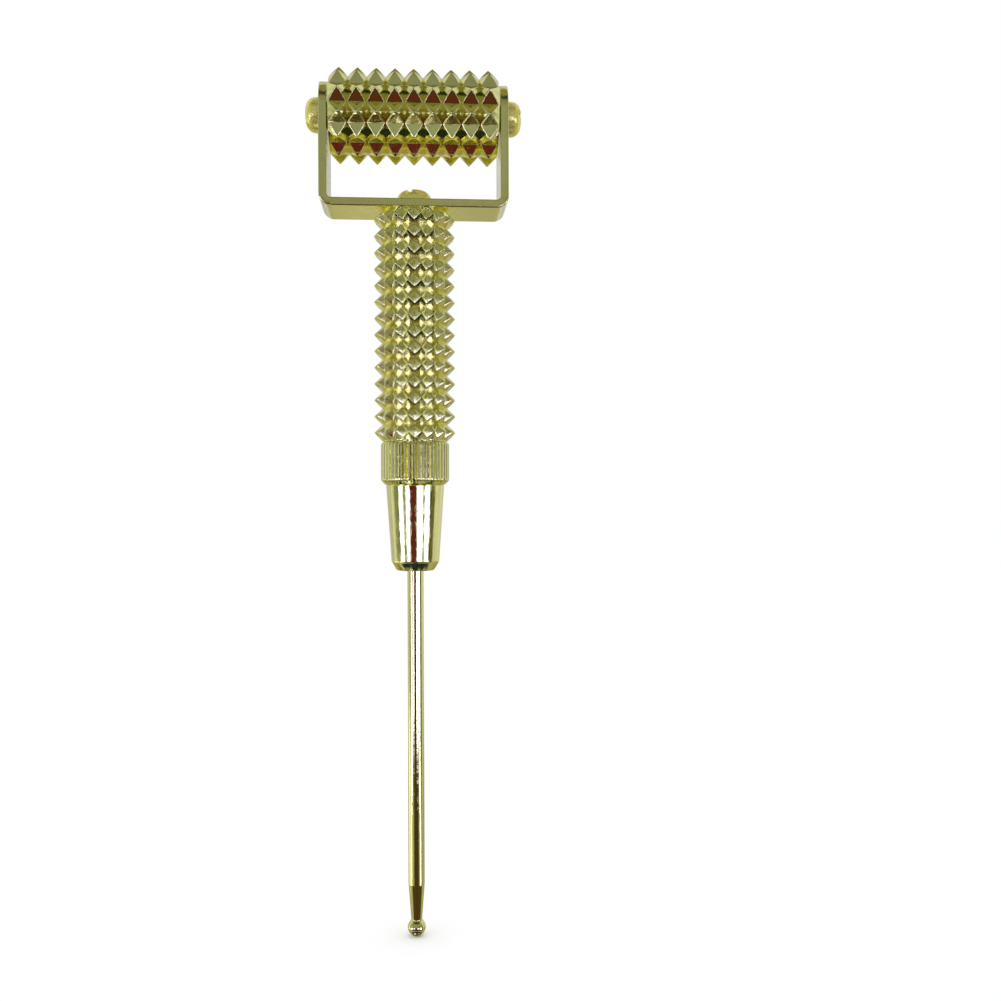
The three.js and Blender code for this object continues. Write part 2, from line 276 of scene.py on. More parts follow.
# ---------------------------------------------------------------- node helpers
class Graph:
    """Short forms for making shader nodes."""

    def __init__(self, tree):
        self.tree = tree
        tree.nodes.clear()

    def node(self, kind, inputs=None, **settings):
        made = self.tree.nodes.new(kind)
        for key, value in settings.items():
            setattr(made, key, value)
        for key, value in (inputs or {}).items():
            self.feed(made.inputs[key], value)
        return made

    def feed(self, socket, value):
        if isinstance(value, bpy.types.NodeSocket):
            self.tree.links.new(value, socket)
        else:
            socket.default_value = value

    def math(self, operation, a, b=0.0, c=0.0):
        made = self.node("ShaderNodeMath", {0: a, 1: b, 2: c}, operation=operation)
        return made.outputs[0]

    def step(self, value, low, high):
        """0 below low, 1 above high, smooth in between."""
        made = self.node(
            "ShaderNodeMapRange",
            {"Value": value, "From Min": low, "From Max": high, "To Min": 0.0, "To Max": 1.0},
            interpolation_type="SMOOTHSTEP",
        )
        return made.outputs["Result"]

    def spread(self, value, low, high):
        """0..1 spread over low..high."""
        made = self.node(
            "ShaderNodeMapRange",
            {"Value": value, "From Min": 0.0, "From Max": 1.0, "To Min": low, "To Max": high},
        )
        return made.outputs["Result"]

    def mix(self, share, a, b):
        made = self.node("ShaderNodeMix", data_type="RGBA")
        self.feed(made.inputs[0], share)
        self.feed(made.inputs[6], a)
        self.feed(made.inputs[7], b)
        return made.outputs[2]

    def noise(self, vector, scale, detail=4.0, roughness=0.5):
        made = self.node(
            "ShaderNodeTexNoise",
            {"Vector": vector, "Scale": scale, "Detail": detail, "Roughness": roughness},
        )
        return made.outputs["Fac"]

    def scaled(self, vector, scale):
        made = self.node("ShaderNodeVectorMath", {0: vector, 1: scale}, operation="MULTIPLY")
        return made.outputs[0]


def rgba(red, green, blue):
    return (red, green, blue, 1.0)


# ---------------------------------------------------------------- materials
PIT = rgba(0.25, 0.19, 0.06)


def metal(name, base, shade_and_tone, roughness, grain, streaks, speckle, metallic=1.0):
    """Bright plated metal: cloudy roughness, orange-peel grain, streaks, speckle, pits, and a darker colour
    painted into recesses as shade.

    base is the colour, and the second colour is painted into recesses as shade and mixed in cloudy patches
    as tone; roughness is (low, high), grain and speckle are bump heights in millimetres, and streaks is how
    far each axis is stretched for the polishing lines.
    """
    material = bpy.data.materials.new(name)
    material.use_nodes = True
    g = Graph(material.node_tree)
    place_mm = g.scaled(g.node("ShaderNodeTexCoord").outputs["Object"], (1 / MM,) * 3)

    clouds = g.noise(place_mm, 0.35, 3.0)
    patches = g.step(g.noise(place_mm, 0.6, 3.0), 0.40, 0.62)
    fine = g.noise(place_mm, 5.0, 3.0, 0.6)
    peel = g.noise(place_mm, 1.6, 2.0)
    lines = g.noise(g.scaled(place_mm, streaks), 1.0, 6.0, 0.65)
    pits = g.step(g.noise(place_mm, 2.6, 2.0, 0.4), 0.74, 0.8)
    # Pointiness is low in hollows, and there the darker second colour is painted in as shade.
    edges = g.step(g.node("ShaderNodeNewGeometry").outputs["Pointiness"], 0.47, 0.53)

    colour = g.mix(edges, shade_and_tone, base)
    # Cloudy patches of the same darker colour: a tone that differs at random, not shade.
    colour = g.mix(g.math("MULTIPLY", g.step(clouds, 0.45, 0.75), 0.25), colour, shade_and_tone)
    colour = g.mix(g.math("MULTIPLY", pits, 0.6), colour, PIT)

    low, high = roughness
    rough = g.spread(g.step(lines, 0.3, 0.75), low, high)
    rough = g.math("ADD", rough, g.math("MULTIPLY", clouds, 0.02))
    rough = g.math("ADD", rough, g.math("MULTIPLY", pits, 0.25))

    height = g.math("ADD", g.math("MULTIPLY", peel, 1.2), g.math("MULTIPLY", lines, 0.35))
    height = g.math("SUBTRACT", height, g.math("MULTIPLY", pits, 0.9))
    speckled = g.math("MULTIPLY", fine, g.spread(patches, 0.35 * speckle / grain, speckle / grain))
    height = g.math("ADD", height, speckled)
    bump = g.node("ShaderNodeBump", {"Height": height, "Distance": grain * MM, "Strength": 1.0})

    shader = g.node(
        "ShaderNodeBsdfPrincipled",
        {"Base Color": colour, "Metallic": metallic, "Roughness": rough, "Normal": bump.outputs[0]},
    )
    g.node("ShaderNodeOutputMaterial", {"Surface": shader.outputs[0]})
    return material


# Each second, darker colour is painted into recesses as shade and is also mixed in cloudy patches as random
# tone.
PLATED = rgba(0.90, 0.855, 0.34)
PLATED_SHADE_AND_TONE = rgba(0.86, 0.80, 0.29)
SCREW = rgba(0.98, 0.87, 0.25)
SCREW_SHADE_AND_TONE = rgba(0.84, 0.70, 0.14)
STEEL = rgba(0.62, 0.62, 0.63)
STEEL_SHADE_AND_TONE = rgba(0.38, 0.37, 0.36)

spike_metal = metal("plated_spikes", PLATED, PLATED_SHADE_AND_TONE, (0.03, 0.10), 0.010, (0.6, 4.0, 0.6), 0.012)
sleeve_metal = metal("plated_sleeve", PLATED, PLATED_SHADE_AND_TONE, (0.03, 0.10), 0.010, (3.0, 3.0, 0.5), 0.035)
strap_metal = metal("plated_strap", PLATED, PLATED_SHADE_AND_TONE, (0.08, 0.18), 0.006, (0.5, 5.0, 5.0), 0.020)
turned_metal = metal("plated_turned", PLATED, PLATED_SHADE_AND_TONE, (0.01, 0.04), 0.004, (0.8, 0.8, 9.0), 0.020)
collar_metal = metal("plated_collar", PLATED, PLATED_SHADE_AND_TONE, (0.02, 0.06), 0.004, (0.8, 0.8, 2.0), 0.018)
rod_metal = metal("plated_rod", PLATED, PLATED_SHADE_AND_TONE, (0.01, 0.03), 0.004, (6.0, 6.0, 0.25), 0.008)
screw_metal = metal("screw_brass", SCREW, SCREW_SHADE_AND_TONE, (0.22, 0.34), 0.03, (3.0, 3.0, 3.0), 0.02, 0.75)
spring_metal = metal("spring_steel", STEEL, STEEL_SHADE_AND_TONE, (0.12, 0.28), 0.006, (2.0, 2.0, 8.0), 0.004)


# ---------------------------------------------------------------- spiked bars
# Where the columns of a tooth stand, as shares of half its width, from its tip to the valley beside it.
TOOTH_SHARES = (0.0, 0.05, 0.14, 0.32, 0.55, 0.78, 0.93, 1.0)


def groove_radius(share, tip_r, groove_r, half_angle):
    """Radius of a straight groove flank, part of the way round from a tip to the next valley."""
    low = Vector((groove_r * math.cos(half_angle), groove_r * math.sin(half_angle)))
    normal = Vector((low.y, tip_r - low.x))
    angle = share * half_angle
    return tip_r * normal.x / (normal.x * math.cos(angle) + normal.y * math.sin(angle))


def soft_min(a, b, k):
    """The smaller of two heights, rounded over a width of k where they cross."""
    h = max(k - abs(a - b), 0.0) / k
    return min(a, b) - h * h * k / 4


def spiked_bar(name, length, rings, teeth, tip_r, root_r, groove_r, phase, bore_r):
    """Pyramid teeth where V rings cross V grooves, centred on Z from 0 to length, with rounded edges."""
    pitch = length / rings
    half_angle = math.pi / teeth
    k = 2 * SPIKE_ROUNDING
    angles, shares = [], []
    for tooth in range(teeth):
        centre = 2 * half_angle * tooth + math.radians(phase)
        for share in [-s for s in reversed(TOOTH_SHARES[1:])] + list(TOOTH_SHARES[:-1]):
            angles.append(centre + share * half_angle)
            shares.append(abs(share))
    share_at = dict(zip(angles, shares))
    worn = {}

    def wear(ring, angle):
        """Each tooth is a little shorter or longer than the next."""
        tooth = round((angle - math.radians(phase)) / (2 * half_angle)) % teeth
        if (ring, tooth) not in worn:
            worn[ring, tooth] = random.uniform(0.0, WEAR)
        return worn[ring, tooth]

    def section(angle):
        share = share_at[angle]
        flank = groove_radius(share, tip_r, groove_r, half_angle)
        flank -= SPIKE_ROUNDING / 2 * max(0.0, 1 - share / CREST_SHARE)
        half = pitch / 2
        edge = max(half - (flank - root_r), LEAST_CREST)
        inner = max(edge - k, 0.45 * edge)
        outer = min(edge + k, (edge + half) / 2)
        points = [(root_r, 0.0)]
        for ring in range(rings):
            centre = (ring + 0.5) * pitch
            short = wear(ring, angle)
            for u in (-outer, -edge, -inner, inner, edge, outer):
                ring_height = root_r + half - abs(u)
                height = soft_min(soft_min(ring_height, flank, k), tip_r - short, k)
                points.append((max(height, root_r), centre + u))
            points.append((root_r, (ring + 1) * pitch))
        points.append((bore_r, length))
        points.append((bore_r, 0.0))
        return points

    return turned(name, section, angles)


def build_roller():
    obj = spiked_bar("roller_spiked", ROLLER_LENGTH, bore_r=AXLE_R + ROLLER_BORE_GAP, **ROLLER)
    along_x = Matrix.Rotation(math.pi / 2, 4, "Y")
    move(obj, Matrix.Translation((-ROLLER_LENGTH / 2, 0, AXLE_Z)) @ along_x)
    smooth(obj)
    place(obj, "roller", "plated_brass", spike_metal, "roller")


def build_sleeve():
    obj = spiked_bar("handle_spiked_sleeve", SLEEVE_LENGTH, bore_r=CORE_R + FIT_GAP, **SLEEVE)
    move(obj, Matrix.Translation((0, 0, sleeve_low.z)))
    smooth(obj)
    place(obj, "handle", "plated_brass", sleeve_metal, "handle_sleeve")


# ---------------------------------------------------------------- core with its knurled collar
KNURLS = 45
KNURL_STEPS = 10
KNURL_DEPTH = 0.34
KNURL_WEAR = (0.55, 1.1)  # how deep each groove was pressed, of that depth
KNURL_FLANK = (0.11, 0.2)  # half width of a groove, of the pitch
KNURL_CROWN = 0.05
COLLAR_CHAMFER_LOW = 0.8
COLLAR_CHAMFER_HIGH = 0.45
# Stations up each chamfer, as shares of its height. Those over 1 are on the collar's straight side.
LOW_STATIONS = (0.0, 0.25, 0.5, 0.75, 0.95, 1.12, 1.4)
HIGH_STATIONS = (1.6, 1.1, 0.85, 0.4, 0.0)
LOW_BLEND, HIGH_BLEND = 0.12, 0.1


def build_core():
    """The knurled collar, the bar under the sleeve, the spring's bore and the tapped ends."""
    gaps = [random.uniform(*KNURL_FLANK) for _ in range(KNURLS)]
    depths = [KNURL_DEPTH * random.uniform(*KNURL_WEAR) for _ in range(KNURLS)]

    def knurl(angle):
        """Rounded ridges with narrow, uneven grooves between them."""
        position = angle / (2 * math.pi) * KNURLS
        ridge = int(position) % KNURLS
        offset = abs(position - int(position) - 0.5)
        crown = COLLAR_R - KNURL_CROWN * (2 * offset) ** 2
        into_groove = max(0.0, 1 - (0.5 - offset) / gaps[ridge])
        return crown - depths[ridge] * math.sin(into_groove * math.pi / 2) ** 1.5

    tap_r = THREAD_R + FIT_GAP
    tap_top = COLLAR_BOTTOM + NOSE_TAP_DEPTH
    low = COLLAR_CHAMFER_LOW
    high = COLLAR_CHAMFER_HIGH
    inside = [
        (0.0, SPRING_SEAT),
        (SPRING_BORE_R, SPRING_SEAT),
        (SPRING_BORE_R, tap_top),
        (tap_r, tap_top),
        (tap_r, COLLAR_BOTTOM + TAP_CHAMFER),
        (tap_r + TAP_CHAMFER, COLLAR_BOTTOM),
    ]
    screw_r = SCREW_R + FIT_GAP
    top = [
        (CORE_R, COLLAR_TOP),
        (CORE_R, core_high.z - CORE_CHAMFER),
        (CORE_R - CORE_CHAMFER, core_high.z),
        (screw_r, core_high.z),
        (screw_r, core_high.z - FORK_SCREW_LENGTH + screw_r / 2),
        (0.0, core_high.z - FORK_SCREW_LENGTH),
    ]

    def section(angle):
        ridge_r = knurl(angle)
        points = list(inside)
        for t in LOW_STATIONS:
            chamfer_r = COLLAR_R - low + t * low
            points.append((soft_min(chamfer_r, ridge_r, LOW_BLEND), COLLAR_BOTTOM + t * low))
        for t in HIGH_STATIONS:
            chamfer_r = COLLAR_R - high + t * high
            points.append((soft_min(chamfer_r, ridge_r, HIGH_BLEND), COLLAR_TOP - t * high))
        return points + top

    obj = turned("handle_core_collar", section, even_angles(KNURLS * KNURL_STEPS))
    smooth(obj, 50)
    place(obj, "handle", "plated_brass", collar_metal, "handle_core")


# ---------------------------------------------------------------- threads
def thread_rows(bottom, top, outer_r, depth, pitch, angle, per_turn=8):
    """(radius, height) points up a thread's side, fading out at both ends."""
    rows = math.ceil((top - bottom) / pitch * per_turn)
    run_out = THREAD_FADE * pitch
    points = []
    for i in range(rows + 1):
        z = bottom + (top - bottom) * i / rows
        wave = (z / pitch - angle / (2 * math.pi)) % 1
        groove = 2 * min(wave, 1 - wave)
        fade = min(1.0, (z - bottom) / run_out, (top - z) / run_out)
        points.append((outer_r - depth * (1 - groove * fade), z))
    return points


# ---------------------------------------------------------------- nose, probe, spring
NOSE_MOUTH_R = 3.4
NOSE_LOW_R = 4.4
NOSE_CHAMFER = 1.6  # height of the chamfer round the mouth
NOSE_LIP = 0.15
NOSE_ROUNDING = 0.25


def build_nose():
    bore = ROD_R + ROD_GAP
    thread_r = THREAD_R - THREAD_DEPTH
    outside = rounded(
        [
            (bore + NOSE_ROUNDING, NOSE_BOTTOM),
            (NOSE_MOUTH_R, NOSE_BOTTOM),
            (NOSE_LOW_R, NOSE_BOTTOM + NOSE_CHAMFER),
            (NOSE_TOP_R, COLLAR_BOTTOM - NOSE_LIP),
            (NOSE_TOP_R - NOSE_LIP, COLLAR_BOTTOM),
            (thread_r, COLLAR_BOTTOM),
        ],
        NOSE_ROUNDING,
    )
    low, high = COLLAR_BOTTOM + THREAD_RELIEF, NOSE_THREAD_TOP - THREAD_RELIEF

    def section(angle):
        thread = thread_rows(low, high, THREAD_R, THREAD_DEPTH, THREAD_PITCH, angle)
        end = [(thread_r - THREAD_RELIEF, NOSE_THREAD_TOP), (bore, NOSE_THREAD_TOP)]
        return [(bore, NOSE_BOTTOM + NOSE_ROUNDING)] + outside + thread + end

    obj = turned("nose_cone_turned", section, even_angles(96))
    smooth(obj)
    place(obj, "handle", "plated_brass", turned_metal, "nose_cone")


BALL_R = 1.65
NECK_R = 1.0
NECK_LENGTH = 0.15
TAPER_TOP = 9.7
FLANGE_THICK = 0.8
TAIL_R = 1.2
TAIL_CHAMFER = 0.3
PROBE_ROUNDING = 0.12


def build_probe():
    neck_angle = math.degrees(math.acos(NECK_R / BALL_R))
    ball = arc(0, BALL_R, BALL_R, -90, neck_angle - 4, 24)
    ball[0] = (0.0, 0.0)
    neck_z = BALL_R + BALL_R * math.sin(math.radians(neck_angle))
    flange_low = NOSE_THREAD_TOP + FIT_GAP
    flange_high = flange_low + FLANGE_THICK
    body = rounded(
        [
            ball[-1],
            (NECK_R, neck_z + NECK_LENGTH),
            (ROD_R, TAPER_TOP),
            (ROD_R, flange_low),
            (FLANGE_R, flange_low),
            (FLANGE_R, flange_high),
            (TAIL_R, flange_high),
            (TAIL_R, probe_high.z - TAIL_CHAMFER),
            (TAIL_R - TAIL_CHAMFER, probe_high.z),
            (0.0, probe_high.z),
        ],
        PROBE_ROUNDING,
        4,
    )
    obj = turned("probe_ball_rod", lambda angle: ball + body[1:], even_angles(72))
    smooth(obj)
    place(obj, "probe", "plated_brass", rod_metal, "probe")


def build_spring():
    """Open coils with a closed coil at each end."""
    wire_r = 0.25
    coils, per_coil, sides = 13, 40, 12
    coil_r = SPRING_R - wire_r
    low, high = spring_low.z + wire_r, spring_high.z - wire_r
    steps = coils * per_coil
    closed = 1.0 / coils
    closed_rise = 2.1 * wire_r
    vertices, faces = [], []
    for ring in range(steps + 1):
        t = ring / steps
        if t < closed:
            rise = closed_rise * t / closed
        elif t > 1 - closed:
            rise = high - low - closed_rise * (1 - t) / closed
        else:
            rise = closed_rise + (high - low - 2 * closed_rise) * (t - closed) / (1 - 2 * closed)
        angle = 2 * math.pi * coils * t
        out = Vector((math.cos(angle), math.sin(angle), 0))
        centre = out * coil_r + Vector((0, 0, low + rise))
        for side in range(sides):
            turn = 2 * math.pi * side / sides
            up = Vector((0, 0, wire_r * math.sin(turn)))
            vertices.append(centre + out * wire_r * math.cos(turn) + up)
    for ring in range(steps):
        here, there = ring * sides, (ring + 1) * sides
        for side in range(sides):
            other = (side + 1) % sides
            faces.append((here + side, here + other, there + other, there + side))
    faces.append(tuple(reversed(range(sides))))
    faces.append(tuple(range(steps * sides, (steps + 1) * sides)))
    obj = make_object("return_spring_coil", vertices, [tuple(reversed(f)) for f in faces])
    smooth(obj, 60)
    place(obj, "handle", "spring_steel", spring_metal, "return_spring")
    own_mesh(obj)


# ---------------------------------------------------------------- fork
def strap_path():
    """Stations (x, z, outward x, outward z, width share) along the middle of the bent strap."""
    half = STRAP_THICK / 2
    x_mid, z_mid, bend = ARM_OUTER_X - half, BAR_BOTTOM + half, BEND_R - half
    end_centre = ARM_TOP - STRAP_WIDTH / 2
    bar_steps, bend_steps, arm_steps, end_steps = 14, 12, 8, 24
    tip_left = 0.2  # of a step, so that the round end keeps a last face
    right = []
    for i in range(bar_steps + 1):
        x = (x_mid - bend) * i / bar_steps
        right.append((x, z_mid, 0.0, -1.0, 1.0))
    for i in range(1, bend_steps + 1):
        angle = math.pi / 2 * i / bend_steps
        out = (math.sin(angle), -math.cos(angle))
        right.append((x_mid - bend + bend * out[0], z_mid + bend + bend * out[1], *out, 1.0))
    for i in range(1, arm_steps + 1):
        rise = (end_centre - z_mid - bend) * i / arm_steps
        right.append((x_mid, z_mid + bend + rise, 1.0, 0.0, 1.0))
    for i in range(1, end_steps + 1):
        angle = math.pi / 2 * i / (end_steps + tip_left)
        rise = STRAP_WIDTH / 2 * math.sin(angle)
        right.append((x_mid, end_centre + rise, 1.0, 0.0, math.cos(angle)))
    left = [(-x, z, -ox, oz, w) for x, z, ox, oz, w in reversed(right[1:])]
    return left + right


def strap_section(share):
    """Points (across, out) round the strap's rounded rectangle."""
    half_w = STRAP_WIDTH / 2 * share
    half_t = STRAP_THICK / 2
    radius = min(STRAP_EDGE_R, half_w * 0.9)
    points = []
    for quarter, (sx, sy) in enumerate(((1, 1), (-1, 1), (-1, -1), (1, -1))):
        for i in range(4):
            angle = math.radians(90 * quarter + 30 * i)
            across = sx * (half_w - radius) + radius * math.cos(angle)
            out = sy * (half_t - STRAP_EDGE_R) + STRAP_EDGE_R * math.sin(angle)
            points.append((across, out))
    return points


def cylinder_tool(radius, length, matrix):
    half = length / 2
    section = [(0.0, -half), (radius, -half), (radius, half), (0.0, half)]
    obj = turned("tool", lambda angle: section, even_angles(48))
    move(obj, matrix)
    return obj


def build_fork():
    path = strap_path()
    vertices, faces = [], []
    for x, z, out_x, out_z, share in path:
        for across, out in strap_section(share):
            vertices.append((x + out_x * out, across, z + out_z * out))
    sides = len(strap_section(1.0))
    for station in range(len(path) - 1):
        here, there = station * sides, (station + 1) * sides
        for side in range(sides):
            other = (side + 1) % sides
            faces.append((here + side, there + side, there + other, here + other))
    faces.append(tuple(range(sides)))
    last = (len(path) - 1) * sides
    faces.append(tuple(reversed(range(last, last + sides))))
    obj = make_object("fork_strap", vertices, faces)
    hole_r = SCREW_R + 2 * FIT_GAP
    across = Matrix.Translation((0, 0, AXLE_Z)) @ Matrix.Rotation(math.pi / 2, 4, "Y")
    through_bar = Matrix.Translation((0, 0, BAR_BOTTOM))
    cut(obj, cylinder_tool(hole_r, 3 * ARM_OUTER_X, across))
    cut(obj, cylinder_tool(hole_r, 4 * STRAP_THICK, through_bar))
    smooth(obj)
    place(obj, "handle", "plated_brass", strap_metal, "fork")


# ---------------------------------------------------------------- screws and axle
def build_screw(name, length, matrix, node):
    """A slotted screw with a round-edged head. The matrix takes its Z, out of the head, to its place."""
    corners = [(SCREW_R - FIT_GAP, 0.0), (SCREW_HEAD_R, 0.0), (SCREW_HEAD_R, SCREW_RIM)]
    base = rounded(corners, SCREW_EDGE)
    dome_steps = 24
    dome = []
    for i in range(4, dome_steps):
        turn = math.pi / 2 * i / dome_steps
        dome.append((
            SCREW_HEAD_R * math.cos(turn) ** (2 / SCREW_DOME),
            SCREW_HEAD_HEIGHT * math.sin(turn) ** (2 / SCREW_DOME),
        ))

    def section(angle):
        low, high = SCREW_POINT - length, -SCREW_NECK
        thread = thread_rows(low, high, SCREW_R, SCREW_THREAD_DEPTH, SCREW_PITCH, angle)
        head = base + [point for point in dome if point[1] > SCREW_RIM + FIT_GAP]
        return [(0.0, -length), (SCREW_POINT_R, -length)] + thread + head + [(0.0, SCREW_HEAD_HEIGHT)]

    obj = turned(name, section, even_angles(64))
    half_l, half_w, depth = 1.5 * SCREW_HEAD_R, SLOT_WIDTH / 2, SLOT_DEPTH
    top = SCREW_HEAD_HEIGHT
    across = (SLOT_OFFSET - half_w, SLOT_OFFSET + half_w)
    corners = [(x, y, z) for x in (-half_l, half_l) for y in across for z in (top - depth, top + depth)]
    sides = [(0, 1, 3, 2), (4, 6, 7, 5), (0, 4, 5, 1), (2, 3, 7, 6), (0, 2, 6, 4), (1, 5, 7, 3)]
    cut(obj, make_object("slot_tool", corners, sides))
    move(obj, matrix)
    bevel(obj, 0.07, 55)
    smooth(obj, 50)
    place(obj, "handle", "screw_brass", screw_metal, node)


def build_screws():
    turn = Matrix.Rotation(math.radians(FORK_SCREW_TURN), 4, "Z")
    up = Matrix.Translation((0, 0, BAR_TOP)) @ turn
    build_screw("fork_screw_slotted", FORK_SCREW_LENGTH, up, "fork_screw")
    for side, node, degrees in (
        (1, "axle_screw_right", RIGHT_SCREW_TURN),
        (-1, "axle_screw_left", LEFT_SCREW_TURN),
    ):
        place_m = Matrix.Translation((side * ARM_OUTER_X, 0, AXLE_Z))
        outward = Matrix.Rotation(side * math.pi / 2, 4, "Y")
        turn = Matrix.Rotation(math.radians(degrees), 4, "Z")
        build_screw(node + "_slotted", AXLE_SCREW_LENGTH, place_m @ outward @ turn, node)


def build_axle():
    """A tube clamped between the arms, tapped at each end."""
    half = ARM_INNER_X
    tap_r, depth = SCREW_R + FIT_GAP, 9.0
    wall = rounded(
        [(tap_r, -half + 0.02), (AXLE_R, -half), (AXLE_R, half), (tap_r, half - 0.02)],
        0.15,
    )
    section = (
        [(0.0, -half + depth), (tap_r, -half + depth - tap_r / 2)]
        + wall
        + [(tap_r, half - depth + tap_r / 2), (0.0, half - depth)]
    )
    obj = turned("roller_axle_tube", lambda angle: section, even_angles(64))
    move(obj, Matrix.Translation((0, 0, AXLE_Z)) @ Matrix.Rotation(math.pi / 2, 4, "Y"))
    smooth(obj)
    place(obj, "handle", "plated_brass", turned_metal, "roller_axle")


# ---------------------------------------------------------------- studio
def build_floor():
    size = 3000.0
    corners = [(-size, -size, 0), (size, -size, 0), (size, size, 0), (-size, size, 0)]
    floor = make_object("floor", corners, [(0, 1, 2, 3)])
    material = bpy.data.materials.new("pale_floor")
    material.use_nodes = True
    g = Graph(material.node_tree)
    place_m = g.node("ShaderNodeTexCoord").outputs["Object"]
    tone = g.spread(g.noise(place_m, 40.0), 0.93, 0.95)
    shader = g.node("ShaderNodeBsdfPrincipled", {"Base Color": tone, "Roughness": 0.9})
    g.node("ShaderNodeOutputMaterial", {"Surface": shader.outputs[0]})
    floor.data.materials.append(material)
    floor.visible_glossy = False


def panel(g, azimuth, elevation, patch):
    """1 inside a rectangle of directions, in degrees, and 0 outside it, with soft edges."""
    soft = patch.get("soft", 0.6)
    left, right = patch["azimuth"]
    low, high = patch["elevation"]
    centre, half = (left + right) / 2, (right - left) / 2
    apart = g.math("ABSOLUTE", g.math("SUBTRACT", azimuth, centre))
    offset = g.math("MINIMUM", apart, g.math("SUBTRACT", 360.0, apart))
    across = g.step(offset, half + soft, half - soft)
    above = g.step(elevation, low - soft, low + soft)
    below = g.step(elevation, high + soft, high - soft)
    return g.math("MULTIPLY", across, g.math("MULTIPLY", above, below))


BACKDROP = rgba(0.55, 0.57, 0.52)
SOFT_BOX = rgba(3.2, 3.4, 7.5)
SECOND_BOX = rgba(2.6, 2.8, 9.0)
SECOND_LAMP = rgba(0.95, 1.0, 2.2)
SECOND_GREY = rgba(0.30, 0.30, 0.18)
SECOND_DARK = rgba(0.15, 0.13, 0.06)
WINDOW = rgba(4.0, 4.0, 4.0)
PAPER = rgba(1.1, 1.15, 1.2)
FLOOR_GLOW = rgba(2.2, 2.2, 2.4)
PALE_WALL = rgba(0.66, 0.68, 0.72)
TABLE = rgba(0.46, 0.46, 0.42)
GREY = rgba(0.30, 0.325, 0.31)
COOL_GREY = rgba(0.38, 0.43, 0.58)
LEFT_GREY = rgba(0.40, 0.40, 0.33)
LOW_GREY = rgba(0.28, 0.28, 0.19)
RIGHT_GREY = rgba(0.24, 0.235, 0.09)
OLIVE_GREY = rgba(0.24, 0.24, 0.155)
GREEN_GREY = rgba(0.22, 0.25, 0.22)
OLIVE = rgba(0.25, 0.24, 0.085)
DARK_OLIVE = rgba(0.13, 0.125, 0.06)
GOLD = rgba(0.42, 0.38, 0.20)
GOLD_WALL = rgba(0.52, 0.50, 0.31)
DARK_GREEN = rgba(0.020, 0.032, 0.032)
DARK_RED = rgba(0.125, 0.022, 0.02)
BROWN = rgba(0.075, 0.05, 0.02)
BLACK = rgba(0.02, 0.02, 0.015)

# The room, from the widest patch to the smallest. Azimuth 0 is towards the camera and grows to the right.
ROOM = [
    dict(azimuth=(-180, 180), elevation=(-90, -20), colour=TABLE, soft=9.0),
    dict(azimuth=(88, 258), elevation=(-16, 90), colour=PALE_WALL, soft=2.0),
    dict(azimuth=(-86, 86), elevation=(-3, 36), colour=GREY, soft=1.5),
    dict(azimuth=(-86, -55), elevation=(-2, 13), colour=LEFT_GREY, soft=3.0),
    dict(azimuth=(-55, 20), elevation=(-2, 13), colour=LOW_GREY, soft=3.0),
    dict(azimuth=(20, 86), elevation=(-2, 13), colour=RIGHT_GREY, soft=3.0),
    dict(azimuth=(-86, 86), elevation=(-3, 4), colour=COOL_GREY, soft=1.0),
    dict(azimuth=(-80, 80), elevation=(36, 50), colour=OLIVE_GREY, soft=2.0),
    dict(azimuth=(-90, 90), elevation=(50, 68), colour=DARK_GREEN, soft=2.0),
    dict(azimuth=(-180, 180), elevation=(69, 90), colour=OLIVE, soft=2.0),
    dict(azimuth=(118, 242), elevation=(-52, -13), colour=GOLD, soft=3.0),
    dict(azimuth=(-70, -24), elevation=(-15, -3.5), colour=SOFT_BOX),
    dict(azimuth=(-95, -70), elevation=(-11, -1), colour=GREEN_GREY),
    dict(azimuth=(6, 61), elevation=(-15, -3.5), colour=SOFT_BOX),
    dict(azimuth=(-54, -38), elevation=(-16, -3), colour=GREY),
    dict(azimuth=(30, 41), elevation=(-16, -3), colour=GREY),
    dict(azimuth=(-40, -26), elevation=(-16, -12.5), colour=GREY),
    dict(azimuth=(52, 64), elevation=(-16, -12.5), colour=GREY),
    dict(azimuth=(64, 88), elevation=(-40, -2), colour=DARK_OLIVE, soft=1.0),
    dict(azimuth=(64, 69), elevation=(-40, -2), colour=BLACK),
    dict(azimuth=(168, 192), elevation=(-28, -6), colour=GOLD_WALL, soft=2.0),
    dict(azimuth=(-125, -88), elevation=(-24, -11), colour=PAPER, soft=1.0),
    dict(azimuth=(-80, -70), elevation=(-24, -14), colour=WINDOW),
    dict(azimuth=(57, 67), elevation=(-24, -14), colour=WINDOW),
    dict(azimuth=(-34, 34), elevation=(-26, -13), colour=BROWN),
    dict(azimuth=(-34, 8), elevation=(-16, -12), colour=BROWN, soft=1.0),
    dict(azimuth=(-25, 8), elevation=(-13, -2), colour=DARK_RED),
    dict(azimuth=(-60, -50), elevation=(-3, 5), colour=DARK_RED),
    dict(azimuth=(-10, 0), elevation=(-3, 5), colour=DARK_RED),
    dict(azimuth=(39, 49), elevation=(-3, 5), colour=DARK_RED),
    dict(azimuth=(-66, 66), elevation=(-36, -24), colour=BROWN, soft=1.0),
    dict(azimuth=(-14, 14), elevation=(-45, -30), colour=DARK_RED, soft=1.0),
    dict(azimuth=(-40, 40), elevation=(-84, -48), colour=DARK_GREEN, soft=2.0),
    dict(azimuth=(-80, 80), elevation=(-71, -55), colour=DARK_GREEN, soft=1.0),
    dict(azimuth=(-98, 98), elevation=(-58, -47), colour=DARK_GREEN, soft=1.0),
    dict(azimuth=(-98, -45), elevation=(-82, -71), colour=FLOOR_GLOW, soft=1.0),
    dict(azimuth=(95, 110), elevation=(-64, -52), colour=DARK_OLIVE, soft=2.0),
    dict(azimuth=(-134, -112), elevation=(-50, -34), colour=RIGHT_GREY, soft=2.0),
    dict(azimuth=(108, 252), elevation=(-84, -54), colour=DARK_GREEN, soft=2.0),
    dict(azimuth=(-180, 180), elevation=(-90, -84), colour=BROWN),
]

